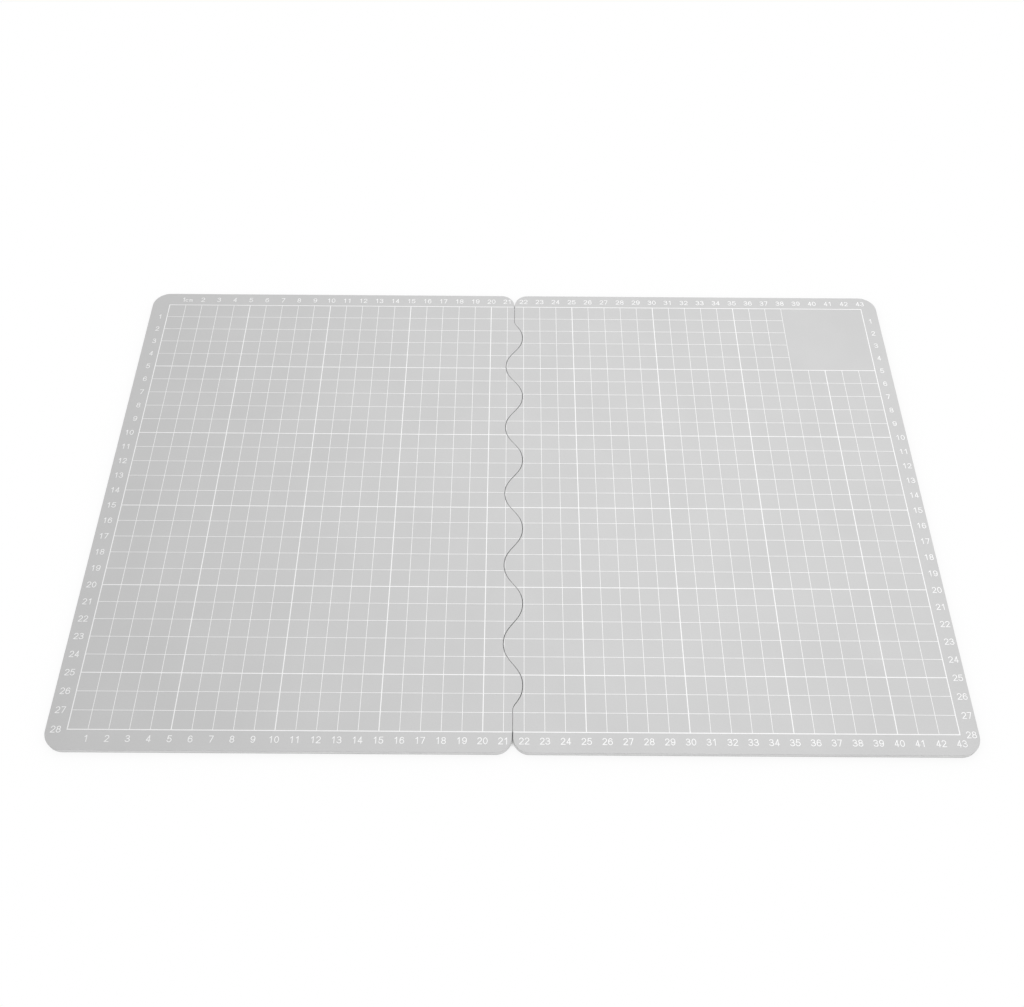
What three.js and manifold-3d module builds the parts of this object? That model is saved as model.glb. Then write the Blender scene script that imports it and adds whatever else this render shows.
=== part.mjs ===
// A folding cutting mat, lying open. Two halves meet on a wavy seam. Each half is a laminate of three
// die-cut sheets with a printed centimetre grid on top, and one thin film under both halves is the hinge.
// Millimetres, +Z up, +X to the right, +Y away from the user. The origin is at the middle of the fold, on
// the surface that the mat lies on.

import * as THREE from 'three';
import { mergeVertices } from 'three/addons/utils/BufferGeometryUtils.js';
import Module from 'manifold-3d';

// Open mat
const MAT_WIDTH = 450;
const MAT_DEPTH = 300;
const CORNER_RADIUS = 10;
const SEAM_CORNER_RADIUS = 8;

// Sheets of the laminate, from the top down
const SURFACE_THICKNESS = 1;
const CORE_THICKNESS = 1;
const BASE_THICKNESS = 1;

// Wavy seam
const SEAM_GAP = 0.4;
const WAVE_AMPLITUDE = 5.1;
const CREST_FLATTENING = 0.21;
const WAVE_LENGTH = 46;
const WAVE_END_ROUNDING = 1.6;
const LEAST_STRAIGHT_RUN = 13;

// Hinge film, flush in a shallow rebate in both undersides
const FILM_WIDTH = 40;
const FILM_THICKNESS = 0.3;
const FILM_SETBACK = 3;
const CREASE_WIDTH = 3;
const REBATE_SIDE_CLEARANCE = 0.3;
const ADHESIVE_THICKNESS = 0.05;

// Printed grid
const GRID_PITCH = 10;
const LEAST_PRINT_MARGIN = 9;
const PRINT_SHIFT_X = 0.6;
const PRINT_SHIFT_Y = 0.5;
const FINE_LINE = 0.26;
const HEAVY_LINE = 0.48;
const FRAME_LINE = 0.5;
const HEAVY_EVERY = 5;
const BARE_COLUMNS = 5;
const BARE_ROWS = 5;
const INK_THICKNESS = 0.05;

// Smoothness of the outline
const STEPS_PER_CORNER = 6;
const STEPS_PER_WAVE = 32;
const STEPS_PER_CELL = 8;
const MERGE_DISTANCE = 1e-4;
const JOIN_TOLERANCE = 1e-3;

// Heights of the faces, from the table up
const CORE_LOW = BASE_THICKNESS;
const SURFACE_LOW = CORE_LOW + CORE_THICKNESS;
const PRINT_LOW = SURFACE_LOW + SURFACE_THICKNESS;
const PRINT_MIDDLE = PRINT_LOW + INK_THICKNESS;
const PRINT_HIGH = PRINT_MIDDLE + INK_THICKNESS;
const FIRST_PASS = [PRINT_LOW, PRINT_MIDDLE];
const SECOND_PASS = [PRINT_MIDDLE, PRINT_HIGH];
const REBATE_HIGH = FILM_THICKNESS + ADHESIVE_THICKNESS;

const largestOddUpTo = (limit) => 2 * Math.floor((limit - 1) / 2) + 1;

// The seam waves between its two straight ends. An odd number of half waves starts and ends on the fold.
const OUTER_END = MAT_DEPTH / 2 - CORNER_RADIUS;
const STRAIGHT_END = MAT_DEPTH / 2 - SEAM_CORNER_RADIUS;
const HALF_WAVES = largestOddUpTo((4 * (STRAIGHT_END - LEAST_STRAIGHT_RUN)) / WAVE_LENGTH);
const WAVE_END = (HALF_WAVES * WAVE_LENGTH) / 4;

const FILM_END = STRAIGHT_END - FILM_SETBACK;
const REBATE_END = FILM_END + REBATE_SIDE_CLEARANCE;
const REBATE_SIDE = FILM_WIDTH / 2 + REBATE_SIDE_CLEARANCE;

// An odd number of columns puts the fold inside a cell, clear of the column lines beside it.
const COLUMNS = largestOddUpTo((MAT_WIDTH - 2 * LEAST_PRINT_MARGIN) / GRID_PITCH);
const ROWS = Math.floor((MAT_DEPTH - 2 * LEAST_PRINT_MARGIN) / GRID_PITCH);
const BARE_START = COLUMNS - BARE_COLUMNS;

const LEFT = -1;
const RIGHT = 1;

const wasm = await Module();
wasm.setup();

const surfacePvc = new THREE.MeshStandardMaterial({ color: 0xc6c6c7, roughness: 0.55, metalness: 0 });
const coreBoard = new THREE.MeshStandardMaterial({ color: 0xe9e8e6, roughness: 0.5, metalness: 0 });
const basePvc = new THREE.MeshStandardMaterial({ color: 0xbfbfc1, roughness: 0.7, metalness: 0 });
const whiteInk = new THREE.MeshStandardMaterial({ color: 0xf7f7f7, roughness: 0.5, metalness: 0 });
const hingeFilm = new THREE.MeshStandardMaterial({ color: 0xb2b2b5, roughness: 0.45, metalness: 0 });

// Gives each vertex the exact height of its nearest face, so that stacked sheets meet without overlap.
function snapHeights(geometry, heights) {
  const position = geometry.getAttribute('position');
  for (let i = 0; i < position.count; i += 1) {
    const z = position.getZ(i);
    const nearest = (best, height) => (Math.abs(height - z) < Math.abs(best - z) ? height : best);
    position.setZ(i, heights.reduce(nearest));
  }
  return geometry;
}

// A flat sheet with the given outline between two heights.
function sheet(outline, z) {
  const options = { depth: z[1] - z[0], bevelEnabled: false, curveSegments: STEPS_PER_CORNER };
  const geometry = new THREE.ExtrudeGeometry(outline, options);
  geometry.translate(0, 0, z[0]);
  return snapHeights(geometry, z);
}

// A straight strip between two places along each axis.
function strip(x, y, z) {
  const sizes = [x, y, z].map((ends) => Math.abs(ends[1] - ends[0]));
  const centre = [x, y, z].map((ends) => (ends[0] + ends[1]) / 2);
  const geometry = new THREE.BoxGeometry(...sizes);
  geometry.translate(...centre);
  return snapHeights(geometry, z);
}

function toSolid(geometry) {
  const bare = new THREE.BufferGeometry();
  bare.setAttribute('position', geometry.getAttribute('position'));
  bare.setIndex(geometry.getIndex());
  const merged = mergeVertices(bare, MERGE_DISTANCE);
  const vertProperties = merged.getAttribute('position').array;
  const triVerts = Uint32Array.from(merged.getIndex().array);
  return new wasm.Manifold(new wasm.Mesh({ numProp: 3, vertProperties, triVerts }));
}

function toGeometry(solid, heights) {
  const mesh = solid.getMesh();
  const geometry = new THREE.BufferGeometry();
  geometry.setAttribute('position', new THREE.BufferAttribute(Float32Array.from(mesh.vertProperties), 3));
  geometry.setIndex(new THREE.BufferAttribute(Uint32Array.from(mesh.triVerts), 1));
  return snapHeights(geometry, heights);
}

// Joins crossing strips into one body, without the slivers that their shared faces leave.
function join(geometries, heights) {
  const [first, ...others] = geometries.map(toSolid);
  const joined = others.reduce((whole, solid) => whole.add(solid), first);
  return toGeometry(joined.asOriginal().simplify(JOIN_TOLERANCE), heights);
}

// How far along the wave a place on the seam is. It comes to a stop at the wave's end, in a soft bend.
function waveTravel(y) {
  const left = WAVE_END - Math.abs(y);
  if (left >= WAVE_END_ROUNDING) {
    return Math.abs(y);
  }
  const bend = Math.max(0, left + WAVE_END_ROUNDING);
  return WAVE_END - bend ** 2 / (4 * WAVE_END_ROUNDING);
}

// The seam's place across the mat at a place along it. Its crests are rounder than a plain sine's.
function seamX(y) {
  const phase = (2 * Math.PI * waveTravel(y)) / WAVE_LENGTH;
  return CREST_FLATTENING * Math.cos(3 * phase) - WAVE_AMPLITUDE * Math.cos(phase);
}

// How far the inner edge of one half lies outwards from the fold line.
function innerEdge(y, side) {
  const pastStraight = Math.max(0, Math.abs(y) - STRAIGHT_END);
  const rounding = SEAM_CORNER_RADIUS - Math.sqrt(SEAM_CORNER_RADIUS ** 2 - pastStraight ** 2);
  return side * seamX(y) + SEAM_GAP / 2 + rounding;
}

// The outline of one half: a rectangle with four round corners whose inner edge follows the seam.
function halfOutline(side) {
  const edge = (y) => side * innerEdge(y, side);
  const centreIn = edge(STRAIGHT_END) + side * SEAM_CORNER_RADIUS;
  const centreOut = side * (MAT_WIDTH / 2 - CORNER_RADIUS);
  const clockwise = side === RIGHT;
  const inward = clockwise ? Math.PI : 0;
  const outward = Math.PI - inward;
  const up = Math.PI / 2;
  const waveReach = WAVE_END + WAVE_END_ROUNDING;
  const waveSteps = Math.ceil((2 * waveReach * STEPS_PER_WAVE) / WAVE_LENGTH);
  const outline = new THREE.Shape();
  outline.moveTo(edge(-STRAIGHT_END), -STRAIGHT_END);
  for (let step = 0; step <= waveSteps; step += 1) {
    const y = waveReach * ((2 * step) / waveSteps - 1);
    outline.lineTo(edge(y), y);
  }
  outline.lineTo(edge(STRAIGHT_END), STRAIGHT_END);
  outline.absarc(centreIn, STRAIGHT_END, SEAM_CORNER_RADIUS, inward, up, clockwise);
  outline.absarc(centreOut, OUTER_END, CORNER_RADIUS, up, outward, clockwise);
  outline.absarc(centreOut, -OUTER_END, CORNER_RADIUS, outward, -up, clockwise);
  outline.absarc(centreIn, -STRAIGHT_END, SEAM_CORNER_RADIUS, -up, inward, clockwise);
  return outline;
}

// The underside sheet, with the rebate that the hinge film lies in.
function baseSheet(outline, side) {
  const across = [side * REBATE_SIDE, -side * REBATE_SIDE];
  const rebate = strip(across, [-REBATE_END, REBATE_END], [-REBATE_HIGH, REBATE_HIGH]);
  const solid = toSolid(sheet(outline, [0, BASE_THICKNESS])).subtract(toSolid(rebate));
  return toGeometry(solid, [0, REBATE_HIGH, BASE_THICKNESS]);
}

// Columns are counted from the left frame line, and rows from the far one.
const columnX = (column) => PRINT_SHIFT_X + (column - COLUMNS / 2) * GRID_PITCH;
const rowY = (row) => PRINT_SHIFT_Y + (ROWS / 2 - row) * GRID_PITCH;
const frameColumn = (side) => (side === LEFT ? 0 : COLUMNS);
const isBareColumn = (column) => column > BARE_START && column < COLUMNS;
const isBareRow = (row) => row > 0 && row < BARE_ROWS;

function lineWidth(index, last) {
  if (index === 0 || index === last) {
    return FRAME_LINE;
  }
  return index % HEAVY_EVERY === 0 ? HEAVY_LINE : FINE_LINE;
}

// A column line between the middles of two row lines.
function columnLine(column, farRow, nearRow, pass) {
  const half = lineWidth(column, COLUMNS) / 2;
  const x = columnX(column);
  return strip([x - half, x + half], [rowY(nearRow), rowY(farRow)], pass);
}

// A row line from the seam outwards.
function rowLine(row, side, outerEnd, pass) {
  const half = lineWidth(row, ROWS) / 2;
  const y = [rowY(row) - half, rowY(row) + half];
  const innerEnd = Math.max(...y.map((place) => innerEdge(place, side)));
  return strip([side * innerEnd, side * outerEnd], y, pass);
}

// The column lines between the frame and the fold, on one half.
function innerColumns(side) {
  const columns = Array.from({ length: COLUMNS - 1 }, (_, index) => index + 1);
  return columns.filter((column) => side * columnX(column) > 0);
}

// Whether a column line stays on its half all the way from one row to the next.
function clearsSeam(column, side, farRow) {
  const lineEdge = side * columnX(column) - lineWidth(column, COLUMNS) / 2;
  const places = Array.from({ length: STEPS_PER_CELL + 1 }, (_, step) => rowY(farRow + step / STEPS_PER_CELL));
  return places.every((y) => innerEdge(y, side) < lineEdge);
}

const cellRows = Array.from({ length: ROWS }, (_, row) => row);
const meetsSeam = (column, side) => !cellRows.every((row) => clearsSeam(column, side, row));

// The first pass prints the far and near frame lines and the column lines that the seam doesn't meet.
function uprightLines(side) {
  const frameEnd = side * columnX(frameColumn(side)) + FRAME_LINE / 2;
  const frame = [0, ROWS].map((row) => rowLine(row, side, frameEnd, FIRST_PASS));
  const columns = innerColumns(side).filter((column) => !meetsSeam(column, side));
  const uprights = columns.map((column) => {
    const farRow = isBareColumn(column) ? BARE_ROWS : 0;
    return columnLine(column, farRow, ROWS, FIRST_PASS);
  });
  return join([...frame, ...uprights], FIRST_PASS);
}

// The second pass prints the outer frame line, the row lines, the side of the bare panel, and what the
// seam leaves of the column lines that it meets.
function crossLines(side) {
  const frame = columnLine(frameColumn(side), 0, ROWS, SECOND_PASS);
  const panelSide = side === RIGHT ? [columnLine(BARE_START, 0, BARE_ROWS, SECOND_PASS)] : [];
  const rows = cellRows.slice(1).map((row) => {
    const lastColumn = side === RIGHT && isBareRow(row) ? BARE_START : frameColumn(side);
    return rowLine(row, side, side * columnX(lastColumn), SECOND_PASS);
  });
  const cut = innerColumns(side).filter((column) => meetsSeam(column, side));
  const remains = cut.flatMap((column) => {
    const clearRows = cellRows.filter((row) => clearsSeam(column, side, row));
    return clearRows.map((row) => columnLine(column, row, row + 1, SECOND_PASS));
  });
  return join([frame, ...panelSide, ...rows, ...remains], SECOND_PASS);
}

function filmStrip(x) {
  return strip(x, [-FILM_END, FILM_END], [0, FILM_THICKNESS]);
}

function piece(name, geometry, material) {
  const mesh = new THREE.Mesh(geometry, material);
  mesh.name = name;
  return mesh;
}

// One half of the mat with its sheets, its print and its wing of the hinge film.
function matHalf(name, side) {
  const outline = halfOutline(side);
  const wing = filmStrip([(side * CREASE_WIDTH) / 2, (side * FILM_WIDTH) / 2]);
  const half = new THREE.Group();
  half.add(
    piece(`${name}_surface_sheet`, sheet(outline, [SURFACE_LOW, PRINT_LOW]), surfacePvc),
    piece(`${name}_core_board`, sheet(outline, [CORE_LOW, SURFACE_LOW]), coreBoard),
    piece(`${name}_base_sheet`, baseSheet(outline, side), basePvc),
    piece(`${name}_upright_lines`, uprightLines(side), whiteInk),
    piece(`${name}_cross_lines`, crossLines(side), whiteInk),
    piece(`hinge_film_${name}_wing`, wing, hingeFilm),
  );
  return half;
}

const crease = piece('hinge_film_crease', filmStrip([-CREASE_WIDTH / 2, CREASE_WIDTH / 2]), hingeFilm);
const mat = new THREE.Group();
mat.add(matHalf('left', LEFT), matHalf('right', RIGHT), crease);

export default mat;
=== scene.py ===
"""A folding cutting mat lying open on a white table.

Each half is a laminate of three die-cut sheets with a white centimetre grid and numerals printed on top,
and one thin film under both halves is the hinge. Sizes are in millimetres until a piece is finished, when
its mesh is turned to metres. +X is to the right across the fold, +Y away from the user and +Z up out of
the print.
"""

import logging
import math
from collections.abc import Iterable
from dataclasses import dataclass, field
from enum import Enum

import bmesh
import bpy
from mathutils import Matrix, Vector


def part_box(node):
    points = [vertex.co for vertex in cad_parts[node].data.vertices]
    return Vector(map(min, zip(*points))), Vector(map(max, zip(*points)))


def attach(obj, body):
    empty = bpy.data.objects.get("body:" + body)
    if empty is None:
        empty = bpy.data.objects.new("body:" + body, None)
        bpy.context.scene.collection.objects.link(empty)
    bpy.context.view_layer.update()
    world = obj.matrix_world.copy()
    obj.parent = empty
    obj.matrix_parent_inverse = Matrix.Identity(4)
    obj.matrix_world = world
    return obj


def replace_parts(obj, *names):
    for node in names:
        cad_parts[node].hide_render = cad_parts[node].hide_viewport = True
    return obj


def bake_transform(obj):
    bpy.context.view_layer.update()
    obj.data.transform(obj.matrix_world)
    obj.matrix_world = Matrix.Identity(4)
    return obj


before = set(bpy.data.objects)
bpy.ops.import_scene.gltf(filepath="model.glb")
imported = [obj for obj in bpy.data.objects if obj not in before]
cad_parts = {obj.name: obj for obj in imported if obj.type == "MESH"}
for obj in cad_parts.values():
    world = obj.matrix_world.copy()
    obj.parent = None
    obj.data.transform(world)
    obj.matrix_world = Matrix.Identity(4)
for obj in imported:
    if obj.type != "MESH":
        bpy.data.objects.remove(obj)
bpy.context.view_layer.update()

LOG = logging.getLogger("folding_mat")
MM = 0.001
SHARP_ANGLE = math.radians(20)
MERGE_DISTANCE = 1e-4

# A face is upright when the height of its unit normal is less than this.
UPRIGHT = 0.3

# The clouds of a finish times its bumps, where its colour is all shade and where it is all tone.
SHADE_LEVEL = 0.1
TONE_LEVEL = 0.4
CLOUD_DETAIL = 3.0


class Half(Enum):
    """The two halves of the mat, valued by the side of the fold that they lie on."""

    LEFT = -1
    RIGHT = 1

    @property
    def side(self) -> str:
        """The word that starts the half's piece names."""
        return self.name.lower()

    @property
    def body(self) -> str:
        """The moving body that the half's pieces ride on."""
        return f"{self.side}_half"


class Grain(Enum):
    """How the relief of a surface was made."""

    ROLLED = "ShaderNodeTexNoise"
    EMBOSSED = "ShaderNodeTexVoronoi"


class Merge(Enum):
    """What a boolean does with two overlapping solids."""

    FUSE = "UNION"
    CARVE = "DIFFERENCE"


class Rounding(Enum):
    """What a bevel rounds off."""

    CORNERS = "VERTICES"
    RIM = "EDGES"


class Align(Enum):
    """Which share of a label's width lies left of its place."""

    START = 0.0
    MIDDLE = 0.5
    END = 1.0


def linear(hex_colour: str) -> tuple[float, float, float, float]:
    """Turns an sRGB hex colour to linear RGBA.

    Args:
        hex_colour: Six hex digits, two for each channel.

    Returns:
        The linear red, green and blue, and an alpha of 1.
    """
    channels = [int(hex_colour[place:place + 2], 16) / 255 for place in (0, 2, 4)]
    red, green, blue = [c / 12.92 if c <= 0.04045 else ((c + 0.055) / 1.055) ** 2.4 for c in channels]
    return red, green, blue, 1.0


def add_node(
    tree: bpy.types.NodeTree, kind: str, settings: dict | None = None, **inputs: object
) -> bpy.types.Node:
    """Adds a shader node with its settings and links.

    Args:
        tree: The node tree that gets the node.
        kind: Blender's name for the node type.
        settings: The node's own properties by name.
        **inputs: Each input by its name with underscores for spaces: a socket is linked, and a value is set.
            A list holds one of them for each input of that name.

    Returns:
        The new node.
    """
    node = tree.nodes.new(kind)
    for name, value in (settings or {}).items():
        setattr(node, name, value)
    for name, value in inputs.items():
        label = name.replace("_", " ")
        sockets = [socket for socket in node.inputs if socket.name == label and socket.enabled]
        for index, given in enumerate(value if isinstance(value, list) else [value]):
            if isinstance(given, bpy.types.NodeSocket):
                tree.links.new(given, sockets[index])
            else:
                sockets[index].default_value = given
    return node


@dataclass(frozen=True)
class Finish:
    """A matt sheet material with two tones, a fine relief and slightly uneven gloss.

    The lengths are in millimetres: mottle is the width of the soft clouds of tone, grain the width of the
    relief's bumps and relief their height. Stretch squeezes the relief along each axis, so a small share
    draws it long.
    """

    name: str
    tone: str
    shade: str
    roughness: float
    roughness_swing: float
    ior: float
    mottle: float
    grain: float
    relief: float
    kind: Grain = Grain.ROLLED
    stretch: tuple[float, float, float] = (1.0, 1.0, 1.0)

    def material(self) -> bpy.types.Material:
        """Makes the material, or gives the one that is already made.

        Returns:
            The finish as a Blender material.
        """
        made = bpy.data.materials.get(self.name)
        if made:
            return made
        made = bpy.data.materials.new(self.name)
        made.use_nodes = True
        tree = made.node_tree
        tree.nodes.clear()
        place = add_node(tree, "ShaderNodeTexCoord").outputs["Object"]
        drawn = add_node(tree, "ShaderNodeMapping", Vector=place, Scale=self.stretch).outputs["Vector"]
        clouds = add_node(
            tree, "ShaderNodeTexNoise", Vector=place, Scale=1 / (self.mottle * MM), Detail=CLOUD_DETAIL
        )
        bumps = add_node(tree, self.kind.value, Vector=drawn, Scale=1 / (self.grain * MM))
        height = bumps.outputs[0]
        unevenness = [clouds.outputs[0], height]
        mixed = add_node(tree, "ShaderNodeMath", {"operation": "MULTIPLY"}, Value=unevenness)
        share = add_node(
            tree, "ShaderNodeMapRange", Value=mixed.outputs[0], From_Min=SHADE_LEVEL, From_Max=TONE_LEVEL
        )
        tones = add_node(
            tree,
            "ShaderNodeMix",
            {"data_type": "RGBA"},
            Factor=share.outputs[0],
            A=linear(self.shade),
            B=linear(self.tone),
        )
        gloss = add_node(
            tree,
            "ShaderNodeMapRange",
            Value=height,
            To_Min=self.roughness - self.roughness_swing,
            To_Max=self.roughness + self.roughness_swing,
        )
        relief = add_node(tree, "ShaderNodeBump", Height=height, Distance=self.relief * MM)
        colour = next(socket for socket in tones.outputs if socket.enabled)
        shader = add_node(
            tree,
            "ShaderNodeBsdfPrincipled",
            Base_Color=colour,
            Roughness=gloss.outputs[0],
            Normal=relief.outputs[0],
            IOR=self.ior,
        )
        add_node(tree, "ShaderNodeOutputMaterial", Surface=shader.outputs[0])
        return made


# Soft PVC rolled between matt calender rolls: an even pale grey, with a faint pebble that breaks up
# highlights. The real pebble is about 0.2 mm, and it is drawn at 0.6 mm to show.
CALENDERED_PVC = Finish(
    name="calendered_soft_pvc",
    tone="CECECE",
    shade="C9C9C9",
    roughness=0.58,
    roughness_swing=0.06,
    ior=1.53,
    mottle=38.0,
    grain=0.6,
    relief=0.03,
)

# The same PVC where the die has cut it: chalky, with fine upright shear marks. Its paleness is painted
# light, for the light that the upright edges catch. The real marks are about 0.1 mm apart, and they are
# drawn at
# 0.5 mm to show.
DIE_CUT_PVC_PAINTED_LIGHT = Finish(
    name="die_cut_soft_pvc_painted_light",
    tone="DCDCDC",
    shade="D0D0D0",
    roughness=0.62,
    roughness_swing=0.08,
    ior=1.53,
    mottle=9.0,
    grain=0.5,
    relief=0.02,
    stretch=(1.0, 1.0, 0.08),
)

# White rigid polypropylene board: only its die-cut edge shows, chalky, with upright shear marks as fine as
# those of the PVC and drawn as coarse.
DIE_CUT_BOARD = Finish(
    name="die_cut_polypropylene_board",
    tone="F5F5F4",
    shade="E8E8E6",
    roughness=0.5,
    roughness_swing=0.08,
    ior=1.49,
    mottle=12.0,
    grain=0.5,
    relief=0.02,
    stretch=(1.0, 1.0, 0.08),
)

# Soft PVC with an embossed grip grain: a slightly darker grey whose round pebbles catch a soft light.
EMBOSSED_PVC = Finish(
    name="embossed_soft_pvc",
    tone="C4C4C4",
    shade="BABABA",
    roughness=0.66,
    roughness_swing=0.08,
    ior=1.53,
    mottle=30.0,
    grain=1.3,
    relief=0.08,
    kind=Grain.EMBOSSED,
)

# White screen ink: an opaque matt white, a little thinner in places where the mesh left less ink. The mesh's
# threads are about 0.1 mm apart, and their marks are drawn at 0.5 mm to show.
SCREEN_INK = Finish(
    name="white_screen_ink",
    tone="FFFFFF",
    shade="F8F8F8",
    roughness=0.48,
    roughness_swing=0.05,
    ior=1.5,
    mottle=6.0,
    grain=0.5,
    relief=0.004,
)

# Extruded polypropylene film: a satin grey with faint draw lines along its length. The real lines are about
# 0.2 mm apart, and they are drawn at 0.9 mm to show.
EXTRUDED_FILM = Finish(
    name="extruded_polypropylene_film",
    tone="B6B6B6",
    shade="A8A8A8",
    roughness=0.36,
    roughness_swing=0.06,
    ior=1.49,
    mottle=18.0,
    grain=0.9,
    relief=0.012,
    stretch=(1.0, 0.015, 1.0),
)


def node_box(node: str) -> tuple[Vector, Vector]:
    """Gives the lowest and highest corner of a construction node, in millimetres."""
    low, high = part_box(node)
    return low / MM, high / MM


def same(place: float, other: float) -> bool:
    """Tells whether two places are the same, but for rounding."""
    return abs(place - other) < MERGE_DISTANCE


def new_object(name: str, bm: bmesh.types.BMesh) -> bpy.types.Object:
    """Turns a bmesh into an object of the scene and frees it.

    Args:
        name: The object's name.
        bm: The shape, in its final units.

    Returns:
        The linked object, at the origin.
    """
    mesh = bpy.data.meshes.new(name)
    bm.to_mesh(mesh)
    bm.free()
    made = bpy.data.objects.new(name, mesh)
    bpy.context.scene.collection.objects.link(made)
    return made


def merge(shapes: Iterable[bmesh.types.BMesh], how: Merge) -> bmesh.types.BMesh:
    """Fuses solids into one, or carves all but the first out of the first.

    Args:
        shapes: The closed shapes, which are used up.
        how: Whether to fuse or to carve.

    Returns:
        The merged shape.
    """
    first, *others = [new_object(f"merge_{index}", shape) for index, shape in enumerate(shapes)]
    for other in others:
        step = first.modifiers.new(other.name, "BOOLEAN")
        step.operation = how.value
        step.solver = "EXACT"
        step.object = other
    bpy.context.view_layer.update()
    merged = bmesh.new()
    merged.from_object(first, bpy.context.evaluated_depsgraph_get())
    for spent in (first, *others):
        mesh = spent.data
        bpy.data.objects.remove(spent)
        bpy.data.meshes.remove(mesh)
    bmesh.ops.remove_doubles(merged, verts=merged.verts, dist=MERGE_DISTANCE)
    return merged


def finish_piece(
    name: str, bm: bmesh.types.BMesh, finish: Finish, cut: Finish | None = None
) -> bpy.types.Object:
    """Turns a shape in millimetres into a dressed piece in metres.

    Args:
        name: The piece's name.
        bm: The closed shape, which is used up.
        finish: What its faces are made of.
        cut: The finish of its upright edges, if they differ from its faces, such as a paler one whose
            paleness is painted light.

    Returns:
        The piece, at the origin.
    """
    bmesh.ops.recalc_face_normals(bm, faces=bm.faces)
    bmesh.ops.scale(bm, vec=(MM, MM, MM), verts=bm.verts)
    # Upright faces take the second finish; where it is paler, the paleness is painted light on the edges.
    if cut:
        bm.normal_update()
        for face in bm.faces:
            face.material_index = int(abs(face.normal.z) < UPRIGHT)
    piece = new_object(name, bm)
    piece.data.shade_smooth()
    piece.data.set_sharp_from_angle(angle=SHARP_ANGLE)
    for worn in filter(None, (finish, cut)):
        piece.data.materials.append(worn.material())
    return piece


def add_strip(
    bm: bmesh.types.BMesh, x: tuple[float, float], y: tuple[float, float]
) -> list[bmesh.types.BMVert]:
    """Adds a flat rectangle.

    Args:
        bm: The bmesh that gets it.
        x: Its two ends across the mat.
        y: Its two ends along the mat.

    Returns:
        Its four corners.
    """
    middle = Matrix.Translation((sum(x) / 2, sum(y) / 2, 0))
    size = Matrix.Diagonal((x[1] - x[0], y[1] - y[0], 1, 1))
    return bmesh.ops.create_grid(bm, x_segments=1, y_segments=1, size=0.5, matrix=middle @ size)["verts"]


def bevel(
    bm: bmesh.types.BMesh,
    geom: list[bmesh.types.BMVert] | list[bmesh.types.BMEdge],
    offset: float,
    segments: int,
    rounding: Rounding,
) -> None:
    """Rounds off some corners of a flat face, or the rim of a solid.

    Args:
        bm: The bmesh that they are in.
        geom: The corners or edges.
        offset: How far from them the round starts.
        segments: How many flats make the round.
        rounding: Whether corners or edges are given.
    """
    bmesh.ops.bevel(
        bm, geom=geom, offset=offset, segments=segments, profile=0.5, affect=rounding.value, material=-1
    )


def thicken(bm: bmesh.types.BMesh, low: float, high: float) -> bmesh.types.BMesh:
    """Gives flat faces a thickness.

    Args:
        bm: The flat faces, at height 0.
        low: The height of the underside.
        high: The height of the upper side.

    Returns:
        The same bmesh, now closed.
    """
    raised = bmesh.ops.extrude_face_region(bm, geom=bm.faces[:])["geom"]
    top = [part for part in raised if isinstance(part, bmesh.types.BMVert)]
    bmesh.ops.translate(bm, vec=(0, 0, high - low), verts=top)
    bmesh.ops.translate(bm, vec=(0, 0, low), verts=bm.verts)
    return bm


@dataclass(frozen=True)
class Seam:
    """The wavy line on which the two halves meet, straight at both ends.

    The halves never lie quite square: they are closest along the straight ends and spread again beyond the
    hinge film, and the right one has slipped a hair towards the user, so the gap is wider on every other
    slope of the wave.
    """

    amplitude: float = 5.1
    flattening: float = 0.21
    wave_length: float = 46.0
    wave_end: float = 126.5
    rounding: float = 1.6
    gap: float = 0.34
    end_gap: float = 0.16
    mouth: float = 0.5
    mouth_start: float = 139.0
    mouth_length: float = 1.0
    slip: float = 0.14

    @property
    def crest(self) -> float:
        """How far the wave swings to each side."""
        return self.amplitude - self.flattening

    def travel(self, y: float) -> float:
        """Gives how far along the wave a place is.

        Args:
            y: The place along the seam.

        Returns:
            The distance, which comes to a stop at the wave's end in a soft bend.
        """
        left = self.wave_end - abs(y)
        if left >= self.rounding:
            return abs(y)
        return self.wave_end - max(0.0, left + self.rounding) ** 2 / (4 * self.rounding)

    def x(self, y: float) -> float:
        """Gives the middle of the seam at a place along it, with crests that are rounder than a sine's."""
        phase = math.tau * self.travel(y) / self.wave_length
        return self.flattening * math.cos(3 * phase) - self.amplitude * math.cos(phase)

    def gap_at(self, y: float) -> float:
        """Gives the width of the gap at a place along the seam.

        Args:
            y: The place along the seam.

        Returns:
            The width, which narrows over the soft bend and widens again at the mouth.
        """
        waving = min(1.0, max(0.0, (self.wave_end - abs(y)) / self.rounding))
        opening = min(1.0, max(0.0, (abs(y) - self.mouth_start) / self.mouth_length))
        return self.end_gap + (self.gap - self.end_gap) * waving + (self.mouth - self.end_gap) * opening

    def edge(self, y: float, half: Half, setback: float = 0.0) -> float:
        """Gives the edge of one half at a place along the seam.

        Args:
            y: The place along the seam.
            half: Which half's edge.
            setback: How far inside the edge.

        Returns:
            The place across the mat.
        """
        place = y + self.slip if half is Half.RIGHT else y
        return self.x(place) + half.value * (self.gap_at(y) / 2 + setback)

    def crests(self) -> list[float]:
        """Gives the places along the seam where it swings furthest left."""
        last = int(self.wave_end // self.wave_length)
        return [number * self.wave_length for number in range(-last, last + 1)]

    def crest_reach(self, x: float) -> float:
        """Gives how far from a left crest the seam comes back to a place across the mat.

        Args:
            x: The place across the mat.

        Returns:
            The distance along the seam, found by halving.
        """
        near, far = 0.0, self.wave_length / 4
        while far - near > MERGE_DISTANCE:
            middle = (near + far) / 2
            near, far = (middle, far) if self.x(middle) < x else (near, middle)
        return far


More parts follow.
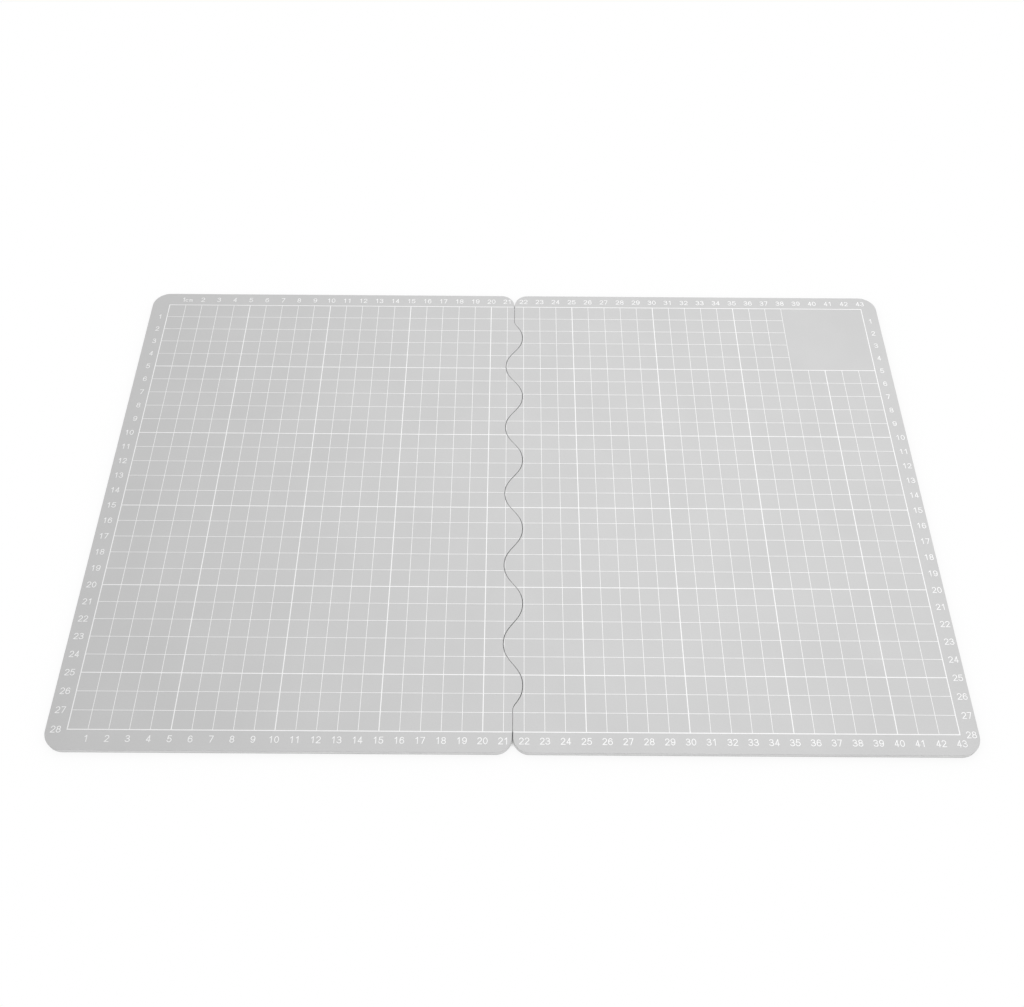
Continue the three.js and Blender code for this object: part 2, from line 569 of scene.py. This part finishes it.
@dataclass
class Laminate:
    """The three sheets of one half: the cutting sheet, the stiff core and the grip sheet with its rebate."""

    half: Half
    seam: Seam
    corner_radius: float = 10.0
    seam_corner_radius: float = 8.0
    corner_segments: int = 24
    edge_step: float = 0.5
    rim: float = 0.15
    rim_segments: int = 2
    core_setback: float = 0.08
    rebate_clearance: float = 0.3
    adhesive: float = 0.05

    def outline(self, node: str, setback: float) -> bmesh.types.BMesh:
        """Draws one sheet's flat outline.

        Args:
            node: The construction node that gives the outer size.
            setback: How far the outline lies inside the node's own.

        Returns:
            One flat face.
        """
        low, high = node_box(node)
        outer = (low.x if self.half is Half.LEFT else high.x) - self.half.value * setback
        inner = self.half.value * (self.seam.mouth / 2 + setback)
        bm = bmesh.new()
        corners = add_strip(bm, (min(inner, outer), max(inner, outer)), (low.y + setback, high.y - setback))
        at_seam = [corner for corner in corners if same(corner.co.x, inner)]
        at_rim = [corner for corner in corners if corner not in at_seam]
        for group, radius in ((at_rim, self.corner_radius), (at_seam, self.seam_corner_radius)):
            bevel(bm, group, radius - setback, self.corner_segments, Rounding.CORNERS)
        straight = high.y - self.seam_corner_radius
        seam_edges = [edge for edge in bm.edges if all(same(vert.co.x, inner) for vert in edge.verts)]
        bmesh.ops.subdivide_edges(bm, edges=seam_edges, cuts=round(2 * straight / self.edge_step) - 1)
        for vert in bm.verts:
            if same(vert.co.x, inner):
                vert.co.x = self.seam.edge(vert.co.y, self.half, setback)
        return bm

    def sheet(self, node: str, setback: float, rim_height: float | None) -> bmesh.types.BMesh:
        """Makes one sheet, with one rim softened by the die.

        Args:
            node: The construction node that the sheet stands for.
            setback: How far the sheet's edge lies inside the node's own.
            rim_height: The height of the face whose rim is softened, if any.

        Returns:
            The closed sheet.
        """
        low, high = node_box(node)
        bm = thicken(self.outline(node, setback), low.z, high.z)
        if rim_height is not None:
            rim = [edge for edge in bm.edges if all(same(vert.co.z, rim_height) for vert in edge.verts)]
            bevel(bm, rim, self.rim, self.rim_segments, Rounding.RIM)
        return bm

    def cutting_sheet(self) -> bpy.types.Object:
        """Builds the soft upper sheet that is cut on.

        Returns:
            The dressed sheet.
        """
        node = f"{self.half.side}_surface_sheet"
        top = node_box(node)[1].z
        bm = self.sheet(node, 0.0, top)
        name = f"{self.half.side}_cutting_sheet"
        # The upright edges get the paler finish, whose paleness is painted light.
        piece = finish_piece(name, bm, CALENDERED_PVC, DIE_CUT_PVC_PAINTED_LIGHT)
        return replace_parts(piece, node)

    def stiff_core(self) -> bpy.types.Object:
        """Builds the stiff board, set back a little so that the laminate shows at the edge.

        Returns:
            The dressed board.
        """
        node = f"{self.half.side}_core_board"
        bm = self.sheet(node, self.core_setback, None)
        piece = finish_piece(f"{self.half.side}_stiff_core", bm, DIE_CUT_BOARD)
        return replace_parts(piece, node)

    def grip_sheet(self) -> bpy.types.Object:
        """Builds the underside sheet and carves the hinge film's rebate into it.

        Returns:
            The dressed sheet.
        """
        node = f"{self.half.side}_base_sheet"
        sheet = self.sheet(node, 0.0, 0.0)
        film_low, film_high = node_box(f"hinge_film_{self.half.side}_wing")
        reach = max(abs(film_low.x), abs(film_high.x)) + self.rebate_clearance
        end = film_high.y + self.rebate_clearance
        depth = film_high.z + self.adhesive
        cutter = bmesh.new()
        add_strip(cutter, (-reach, reach), (-end, end))
        bm = merge([sheet, thicken(cutter, -depth, depth)], Merge.CARVE)
        # The upright edges get the paler finish, whose paleness is painted light.
        piece = finish_piece(f"{self.half.side}_grip_sheet", bm, EMBOSSED_PVC, DIE_CUT_PVC_PAINTED_LIGHT)
        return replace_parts(piece, node)

    def build(self) -> list[bpy.types.Object]:
        """Builds the three sheets and lets them ride on their half.

        Returns:
            The pieces, from the top down.
        """
        pieces = [self.cutting_sheet(), self.stiff_core(), self.grip_sheet()]
        return [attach(piece, self.half.body) for piece in pieces]


@dataclass(frozen=True)
class GridLayout:
    """Where the printed centimetre grid lies.

    Columns count from the left frame line, and rows from the far one.
    """

    pitch: float = 10.0
    columns: int = 43
    rows: int = 28
    fine_line: float = 0.26
    heavy_line: float = 0.48
    frame_line: float = 0.5
    heavy_every: int = 5
    bare_columns: int = 5
    bare_rows: int = 5
    ink_low: float = field(default_factory=lambda: node_box("left_surface_sheet")[1].z)
    ink_thickness: float = 0.05
    left_edge: float = field(default_factory=lambda: node_box("left_cross_lines")[0].x)
    far_edge: float = field(default_factory=lambda: node_box("left_upright_lines")[1].y)

    @property
    def bare_start(self) -> int:
        """The column line that closes the bare panel on its left."""
        return self.columns - self.bare_columns

    def column_x(self, column: int) -> float:
        """Gives the middle of a column line."""
        return self.left_edge + self.frame_line / 2 + column * self.pitch

    def row_y(self, row: int) -> float:
        """Gives the middle of a row line."""
        return self.far_edge - self.frame_line / 2 - row * self.pitch

    def width(self, index: int, last: int) -> float:
        """Gives the width of a line by its number.

        Args:
            index: The line's number.
            last: The number of the last line that way.

        Returns:
            The frame, heavy or fine width.
        """
        if index in (0, last):
            return self.frame_line
        return self.heavy_line if index % self.heavy_every == 0 else self.fine_line

    def half_of(self, column: int) -> Half:
        """Tells which half a column line is printed on."""
        return Half.LEFT if self.column_x(column) < 0 else Half.RIGHT

    def outer_column(self, half: Half) -> int:
        """Gives the frame line's column on one half."""
        return 0 if half is Half.LEFT else self.columns


@dataclass
class GridPrint:
    """The white lines on one half, fused where they cross and cut off at the seam."""

    half: Half
    seam: Seam
    layout: GridLayout
    seam_setback: float = 0.15

    def ink(self, bm: bmesh.types.BMesh) -> bmesh.types.BMesh:
        """Gives flat lines the thickness of the ink."""
        return thicken(bm, self.layout.ink_low, self.layout.ink_low + self.layout.ink_thickness)

    def seam_place(self, x: float) -> float:
        """Gives the seam's place when its edge, less the setback, is at x on this half."""
        return x - self.half.value * (self.seam.gap / 2 + self.seam_setback)

    def meets_seam(self, column: int) -> bool:
        """Tells whether the seam's wave crosses a column line."""
        return abs(self.layout.column_x(column)) < self.seam.crest

    def rows(self) -> bmesh.types.BMesh:
        """Draws the row lines from the frame, or the bare panel, to the seam.

        Returns:
            The flat lines.
        """
        lay = self.layout
        bm = bmesh.new()
        for row in range(lay.rows + 1):
            bare = self.half is Half.RIGHT and 0 < row < lay.bare_rows
            last = lay.bare_start if bare else lay.outer_column(self.half)
            outer = lay.column_x(last) + self.half.value * lay.width(last, lay.columns) / 2
            width = lay.width(row, lay.rows)
            ends = (min(0.0, outer), max(0.0, outer))
            corners = add_strip(bm, ends, (lay.row_y(row) - width / 2, lay.row_y(row) + width / 2))
            for corner in corners:
                if same(corner.co.x, 0.0):
                    corner.co.x = self.seam.edge(corner.co.y, self.half, self.seam_setback)
        return bm

    def whole_columns(self, bm: bmesh.types.BMesh) -> None:
        """Adds the column lines that run clear of the seam, between the far and near frame lines.

        Args:
            bm: The bmesh that gets them.
        """
        lay = self.layout
        for column in range(lay.columns + 1):
            if lay.half_of(column) is not self.half or self.meets_seam(column):
                continue
            bare = lay.bare_start < column < lay.columns
            far = lay.row_y(lay.bare_rows if bare else 0) + lay.fine_line / 2
            near = lay.row_y(lay.rows) - lay.fine_line / 2
            width = lay.width(column, lay.columns)
            x = lay.column_x(column)
            add_strip(bm, (x - width / 2, x + width / 2), (near, far))

    def cut_columns(self, bm: bmesh.types.BMesh) -> None:
        """Adds what the seam leaves on this half of the column lines that it crosses.

        Args:
            bm: The bmesh that gets them.
        """
        lay = self.layout
        near, far = lay.row_y(lay.rows), lay.row_y(0)
        crests = self.seam.crests()
        stops = [near, *crests, far]
        for column in filter(self.meets_seam, range(lay.columns + 1)):
            at_home = self.half is lay.half_of(column)
            x = lay.column_x(column)
            width = lay.width(column, lay.columns)
            for low, high in zip(stops, stops[1:]) if at_home else zip(crests, crests):
                corners = add_strip(bm, (x - width / 2, x + width / 2), (low - lay.pitch, high + lay.pitch))
                for corner in corners:
                    end, inward = (low, 1) if corner.co.y < low else (high, -1)
                    if end in (near, far):
                        corner.co.y = end
                    else:
                        reach = self.seam.crest_reach(self.seam_place(corner.co.x))
                        corner.co.y = end + inward * (reach if at_home else -reach)

    def build(self) -> list[bpy.types.Object]:
        """Builds the half's lines and lets them ride on it.

        Returns:
            The one printed piece.
        """
        uprights = bmesh.new()
        self.whole_columns(uprights)
        self.cut_columns(uprights)
        bm = merge([self.ink(uprights), self.ink(self.rows())], Merge.FUSE)
        piece = finish_piece(f"{self.half.side}_grid_print", bm, SCREEN_INK)
        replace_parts(piece, f"{self.half.side}_upright_lines", f"{self.half.side}_cross_lines")
        return [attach(piece, self.half.body)]


@dataclass(frozen=True)
class Line:
    """A straight pull of the pen, in shares of a character's width and height."""

    start: tuple[float, float]
    end: tuple[float, float]

    def points(self) -> list[tuple[float, float]]:
        """Gives the two ends."""
        return [self.start, self.end]


@dataclass(frozen=True)
class Arc:
    """A pull of the pen along an oval, in shares of a character's width and height and in degrees."""

    centre: tuple[float, float]
    radii: tuple[float, float]
    start: float
    end: float
    step: float = 24.0

    def points(self) -> list[tuple[float, float]]:
        """Gives points along the oval.

        Returns:
            The points, from the start to the end.
        """
        steps = math.ceil(abs(self.end - self.start) / self.step)
        angles = [math.radians(self.start + (self.end - self.start) * i / steps) for i in range(steps + 1)]
        return [
            (self.centre[0] + self.radii[0] * math.cos(a), self.centre[1] + self.radii[1] * math.sin(a))
            for a in angles
        ]


Stroke = tuple[Line | Arc, ...]

# Plain sans numerals as pulls of one pen, from 0 to 1 between the middles of the outermost strokes.
STROKES: dict[str, tuple[Stroke, ...]] = {
    "0": ((Arc((0.5, 0.5), (0.5, 0.5), 90, 450),),),
    "1": ((Line((0.62, 0), (0.62, 1)),), (Line((0.2, 0.77), (0.55, 0.96)),)),
    "2": (
        (Arc((0.5, 0.72), (0.48, 0.28), 165, -35), Line((0.8, 0.5), (0.06, 0.05))),
        (Line((0, 0), (1, 0)),),
    ),
    "3": (
        (Arc((0.46, 0.76), (0.44, 0.24), 160, -90), Line((0.46, 0.52), (0.36, 0.52))),
        (Arc((0.47, 0.26), (0.53, 0.26), 90, -160),),
    ),
    "4": (
        (Line((0.72, 0), (0.72, 1)),),
        (Line((0.02, 0.25), (1, 0.25)),),
        (Line((0.68, 0.97), (0.04, 0.28)),),
    ),
    "5": (
        (Arc((0.47, 0.32), (0.53, 0.32), 140, -160),),
        (Line((0.06, 0.53), (0.18, 0.97)),),
        (Line((0.2, 1), (0.92, 1)),),
    ),
    "6": ((Arc((0.5, 0.31), (0.5, 0.31), 90, 450),), (Arc((0.52, 0.5), (0.52, 0.5), 195, 38),)),
    "7": ((Line((0, 1), (0.96, 1)),), (Line((0.94, 0.96), (0.34, 0)),)),
    "8": ((Arc((0.5, 0.765), (0.43, 0.235), 90, 450),), (Arc((0.5, 0.265), (0.5, 0.265), 90, 450),)),
    "9": ((Arc((0.5, 0.69), (0.5, 0.31), 90, 450),), (Arc((0.48, 0.5), (0.52, 0.5), 15, -142),)),
    "c": ((Arc((0.5, 0.5), (0.5, 0.5), 42, 318),),),
    "m": (
        (Line((0, 0), (0, 1)),),
        (Arc((0.25, 0.66), (0.25, 0.34), 180, 0), Line((0.5, 0.66), (0.5, 0))),
        (Arc((0.75, 0.66), (0.25, 0.34), 180, 0), Line((1, 0.66), (1, 0))),
    ),
}


@dataclass(frozen=True)
class Pen:
    """A flat pen that draws characters of one size as solid ink."""

    width: float
    height: float
    advance: float
    nib: float
    ink_thickness: float
    least_step: float = 0.01
    mitre_limit: float = 0.5

    def path(self, stroke: Stroke) -> list[Vector]:
        """Gives the middle of a stroke, from the character's lower left corner.

        Args:
            stroke: The pulls that follow each other without lifting the pen.

        Returns:
            The places that the pen passes through.
        """
        shares = [point for pull in stroke for point in pull.points()]
        across, up = self.width - self.nib, self.height - self.nib
        places = [Vector((self.nib / 2 + u * across, self.nib / 2 + v * up, 0)) for u, v in shares]
        steps = zip(places, places[1:])
        return [places[0], *(place for last, place in steps if (place - last).length > self.least_step)]

    def draw(self, stroke: Stroke) -> bmesh.types.BMesh:
        """Pulls the nib along a stroke and gives the mark its thickness.

        Args:
            stroke: The pulls that follow each other without lifting the pen.

        Returns:
            The closed mark.
        """
        path = self.path(stroke)
        ring = same((path[0] - path[-1]).length, 0.0)
        if not ring:
            path[0] += (path[0] - path[1]).normalized() * self.nib / 2
            path[-1] += (path[-1] - path[-2]).normalized() * self.nib / 2
        bm = bmesh.new()
        tip = [bm.verts.new(path[0]), bm.verts.new(path[0])]
        edge = bm.edges.new(tip)
        for index, place in enumerate(path):
            if index:
                pulled = bmesh.ops.extrude_edge_only(bm, edges=[edge])["geom"]
                edge = next(part for part in pulled if isinstance(part, bmesh.types.BMEdge))
                tip = [self.pulled_from(old, edge) for old in tip]
            before = path[index - 1] if index else (path[-2] if ring else None)
            after = path[index + 1] if index + 1 < len(path) else (path[1] if ring else None)
            across = self.across(place, before, after)
            tip[0].co = place + across
            tip[1].co = place - across
        if ring:
            bmesh.ops.remove_doubles(bm, verts=bm.verts, dist=MERGE_DISTANCE)
        return thicken(bm, 0.0, self.ink_thickness)

    @staticmethod
    def pulled_from(old: bmesh.types.BMVert, edge: bmesh.types.BMEdge) -> bmesh.types.BMVert:
        """Gives the end of a pulled edge that one old corner of the nib was pulled to."""
        return next(new for new in edge.verts if any(side.other_vert(new) is old for side in new.link_edges))

    def across(self, place: Vector, before: Vector | None, after: Vector | None) -> Vector:
        """Gives the half width of the nib where the stroke turns, mitred.

        Args:
            place: Where the pen is.
            before: Where it comes from, if it isn't starting.
            after: Where it goes, if it isn't ending.

        Returns:
            The way from the middle of the stroke to its left side.
        """
        ways = [way.normalized() for way in (before and place - before, after and after - place) if way]
        along = sum(ways, Vector()).normalized()
        left = Vector((-along.y, along.x, 0))
        return left * self.nib / 2 / max(self.mitre_limit, along.dot(ways[0]))

    def character(self, sign: str) -> bpy.types.Mesh:
        """Draws one character, or gives the mesh that is already drawn.

        Args:
            sign: The character.

        Returns:
            Its mesh, with the lower left corner of its box at the origin.
        """
        name = f"{sign}_{self.height}"
        made = bpy.data.meshes.get(name)
        if made is None:
            bm = merge([self.draw(stroke) for stroke in STROKES[sign]], Merge.FUSE)
            bmesh.ops.translate(bm, vec=((self.advance - self.width) / 2, 0, 0), verts=bm.verts)
            made = bpy.data.meshes.new(name)
            bm.to_mesh(made)
            bm.free()
        return made

    def write(self, bm: bmesh.types.BMesh, text: str, place: Vector, align: Align) -> None:
        """Adds a label to a bmesh.

        Args:
            bm: The bmesh that gets it.
            text: The characters.
            place: The label's place, on its lower side.
            align: Which share of the label lies left of the place.
        """
        start = place.x - align.value * self.advance * len(text)
        for index, sign in enumerate(text):
            known = len(bm.verts)
            bm.from_mesh(self.character(sign))
            bm.verts.ensure_lookup_table()
            shift = (start + index * self.advance, place.y, place.z)
            bmesh.ops.translate(bm, vec=shift, verts=bm.verts[known:])


@dataclass
class Numerals:
    """The printed counts in the margins of one half, with the unit beside the far left one."""

    half: Half
    layout: GridLayout
    height: float = 3.5
    width: float = 2.28
    advance: float = 2.72
    nib: float = 0.39
    far_gap: float = 4.5
    near_gap: float = 4.55
    side_gap: float = 2.8
    unit: str = "cm"
    unit_height: float = 2.05
    unit_width: float = 2.0
    unit_advance: float = 2.45
    unit_nib: float = 0.33
    unit_start: float = 0.75
    unit_room: float = 1.9

    @property
    def far_low(self) -> float:
        """The place of the lower side of the far counts."""
        return self.layout.row_y(0) + self.far_gap - self.height / 2

    def pen(self) -> Pen:
        """Gives the pen of the counts."""
        return Pen(self.width, self.height, self.advance, self.nib, self.layout.ink_thickness)

    def unit_pen(self) -> Pen:
        """Gives the smaller pen of the unit."""
        thickness = self.layout.ink_thickness
        return Pen(self.unit_width, self.unit_height, self.unit_advance, self.unit_nib, thickness)

    def column_counts(self, bm: bmesh.types.BMesh) -> None:
        """Writes the column counts outside the far and near frame lines.

        Args:
            bm: The bmesh that gets them.
        """
        lay = self.layout
        pen = self.pen()
        near_low = lay.row_y(lay.rows) - self.near_gap - self.height / 2
        for column in range(1, lay.columns + 1):
            if lay.half_of(column) is self.half:
                for low in (self.far_low, near_low):
                    room = self.unit_room if column == 1 and low == self.far_low else 0.0
                    place = Vector((lay.column_x(column) - room, low, lay.ink_low))
                    pen.write(bm, str(column), place, Align.MIDDLE)

    def row_counts(self, bm: bmesh.types.BMesh) -> None:
        """Writes the row counts outside the outer frame line, lined up along it.

        Args:
            bm: The bmesh that gets them.
        """
        lay = self.layout
        pen = self.pen()
        x = lay.column_x(lay.outer_column(self.half)) + self.half.value * self.side_gap
        align = Align.END if self.half is Half.LEFT else Align.START
        for row in range(1, lay.rows + 1):
            place = Vector((x, lay.row_y(row) - self.height / 2, lay.ink_low))
            pen.write(bm, str(row), place, align)

    def unit_mark(self, bm: bmesh.types.BMesh) -> None:
        """Writes the unit after the first far count.

        Args:
            bm: The bmesh that gets it.
        """
        x = self.layout.column_x(1) - self.unit_room + self.unit_start
        place = Vector((x, self.far_low, self.layout.ink_low))
        self.unit_pen().write(bm, self.unit, place, Align.START)

    def build(self) -> list[bpy.types.Object]:
        """Builds the half's numerals and lets them ride on it.

        Returns:
            The one printed piece.
        """
        bm = bmesh.new()
        self.column_counts(bm)
        self.row_counts(bm)
        if self.half is Half.LEFT:
            self.unit_mark(bm)
        piece = finish_piece(f"{self.half.side}_numerals", bm, SCREEN_INK)
        return [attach(piece, self.half.body)]


@dataclass
class HingeFilm:
    """The one strip of film that holds both halves and bends along the fold."""

    bend_reach: float = 0.5
    bend_columns: int = 10
    corner_radius: float = 3.0
    corner_segments: int = 6

    def build(self) -> list[bpy.types.Object]:
        """Builds the film, cut into narrow strips along the fold.

        Returns:
            The one strip.
        """
        left, _ = node_box("hinge_film_left_wing")
        _, right = node_box("hinge_film_right_wing")
        bm = bmesh.new()
        corners = add_strip(bm, (left.x, right.x), (left.y, right.y))
        bevel(bm, corners, self.corner_radius, self.corner_segments, Rounding.CORNERS)
        for column in range(self.bend_columns + 1):
            x = self.bend_reach * (2 * column / self.bend_columns - 1)
            everything = [*bm.verts, *bm.edges, *bm.faces]
            bmesh.ops.bisect_plane(bm, geom=everything, plane_co=(x, 0, 0), plane_no=(1, 0, 0))
        thicken(bm, left.z, right.z)
        piece = finish_piece("hinge_film", bm, EXTRUDED_FILM)
        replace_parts(piece, "hinge_film_left_wing", "hinge_film_crease", "hinge_film_right_wing")
        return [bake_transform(piece)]


@dataclass
class Studio:
    """A white table under one large soft lamp, and a camera at the photograph's angle."""

    key_place: tuple[float, float, float] = (155.0, 110.0, 800.0)
    key_size: tuple[float, float] = (500.0, 1000.0)
    key_watts: float = 5.38
    fill: float = 0.33
    surround: float = 1.0
    surround_height: float = 0.5
    table_size: float = 6000.0
    table_drop: float = 0.02
    shade_reach: float = 25.0
    shade_start: float = 0.1
    shade_depth: float = 0.06
    shade_knee: float = 0.42
    shade_edge: float = 0.92
    shade_samples: int = 16
    lens: float = 39.062
    azimuth: float = -0.121
    elevation: float = 56.045
    roll: float = 0.476
    distance: float = 609.05
    target: tuple[float, float, float] = (-0.89, -6.9, 3.1)

    def world(self) -> None:
        """Lights by white walls and a dimmer ceiling, and shows white to the eye and in reflections."""
        world = bpy.data.worlds.new("studio")
        bpy.context.scene.world = world
        world.use_nodes = True
        tree = world.node_tree
        tree.nodes.clear()
        rays = add_node(tree, "ShaderNodeLightPath").outputs
        either = {"operation": "ADD", "use_clamp": True}
        seen = add_node(tree, "ShaderNodeMath", either, Value=[rays["Is Camera Ray"], rays["Is Glossy Ray"]])
        clear = rays["Is Transmission Ray"]
        shown = add_node(tree, "ShaderNodeMath", either, Value=[seen.outputs[0], clear])
        white = add_node(tree, "ShaderNodeBackground", Color=linear("FFFFFF"))
        way = add_node(tree, "ShaderNodeTexCoord").outputs["Generated"]
        height = add_node(tree, "ShaderNodeSeparateXYZ", Vector=way).outputs["Z"]
        level = add_node(
            tree,
            "ShaderNodeMapRange",
            Value=height,
            From_Max=self.surround_height,
            To_Min=self.surround,
            To_Max=self.fill,
        )
        fill = add_node(tree, "ShaderNodeBackground", Color=linear("FFFFFF"), Strength=level.outputs[0])
        backgrounds = [fill.outputs[0], white.outputs[0]]
        both = add_node(tree, "ShaderNodeMixShader", Fac=shown.outputs[0], Shader=backgrounds)
        add_node(tree, "ShaderNodeOutputWorld", Surface=both.outputs[0])

    def lamp(self) -> None:
        """Hangs the key lamp over the mat, facing down."""
        light = bpy.data.lights.new("key", "AREA")
        light.shape = "RECTANGLE"
        light.size, light.size_y = (side * MM for side in self.key_size)
        light.energy = self.key_watts
        lamp = bpy.data.objects.new("key", light)
        lamp.location = Vector(self.key_place) * MM
        bpy.context.scene.collection.objects.link(lamp)

    def table_top(self) -> bpy.types.Material:
        """Makes the table's material, as white as the surround but for the object's soft shadow.

        Returns:
            A clear material that only takes light away, so that the half that folds under still shows.
        """
        made = bpy.data.materials.new("white_table")
        made.use_nodes = True
        tree = made.node_tree
        tree.nodes.clear()
        seen = add_node(tree, "ShaderNodeLightPath").outputs["Is Camera Ray"]
        samples = {"samples": self.shade_samples}
        open_sky = add_node(tree, "ShaderNodeAmbientOcclusion", samples, Distance=self.shade_reach * MM)
        crevice = add_node(
            tree,
            "ShaderNodeMapRange",
            Value=open_sky.outputs["AO"],
            From_Min=self.shade_start,
            From_Max=self.shade_knee,
            To_Min=self.shade_depth / self.shade_edge,
        )
        rim = add_node(
            tree,
            "ShaderNodeMapRange",
            Value=open_sky.outputs["AO"],
            From_Min=self.shade_knee,
            To_Min=self.shade_edge,
        )
        shares = [crevice.outputs[0], rim.outputs[0]]
        shadow = add_node(tree, "ShaderNodeMath", {"operation": "MULTIPLY"}, Value=shares)
        left = add_node(tree, "ShaderNodeMix", Factor=seen, A=1.0, B=shadow.outputs[0])
        clear = add_node(tree, "ShaderNodeBsdfTransparent", Color=left.outputs[0])
        add_node(tree, "ShaderNodeOutputMaterial", Surface=clear.outputs[0])
        return made

    def table(self) -> None:
        """Lays a table top that shows only the object's shadow."""
        bm = bmesh.new()
        half = self.table_size / 2
        add_strip(bm, (-half, half), (-half, half))
        bmesh.ops.translate(bm, vec=(0, 0, -self.table_drop), verts=bm.verts)
        bmesh.ops.scale(bm, vec=(MM, MM, MM), verts=bm.verts)
        table = new_object("table", bm)
        table.data.materials.append(self.table_top())

    def camera(self) -> None:
        """Sets the camera where the photograph was taken from."""
        angles = (self.azimuth, self.elevation, self.roll)
        azimuth, elevation, roll = (math.radians(angle) for angle in angles)
        level = math.cos(elevation)
        back = Vector((math.sin(azimuth) * level, -math.cos(azimuth) * level, math.sin(elevation)))
        side = Vector((math.cos(azimuth), math.sin(azimuth), 0))
        up = back.cross(side)
        right = side * math.cos(roll) + up * math.sin(roll)
        top = up * math.cos(roll) - side * math.sin(roll)
        pose = Matrix((right, top, back)).transposed().to_4x4()
        pose.translation = (Vector(self.target) + back * self.distance) * MM
        view = bpy.data.cameras.new("view")
        view.lens = self.lens
        camera = bpy.data.objects.new("view", view)
        bpy.context.scene.collection.objects.link(camera)
        camera.matrix_world = pose
        bpy.context.scene.camera = camera

    def build(self) -> None:
        """Sets up the world, the lamp, the table and the camera."""
        self.world()
        self.lamp()
        self.table()
        self.camera()
        bpy.context.scene.view_settings.view_transform = "Standard"


def main() -> None:
    """Builds every piece in order and reports it."""
    logging.basicConfig(level=logging.INFO, format="%(message)s")
    seam = Seam()
    layout = GridLayout()
    assemblies: list[HingeFilm | Laminate | GridPrint | Numerals] = [HingeFilm()]
    for half in Half:
        assemblies += [Laminate(half, seam), GridPrint(half, seam, layout), Numerals(half, layout)]
    for assembly in assemblies:
        for piece in assembly.build():
            mesh = piece.data
            LOG.info("%s: %d faces of %s", piece.name, len(mesh.polygons), mesh.materials[0].name)
    Studio().build()


if __name__ == "__main__":
    main()
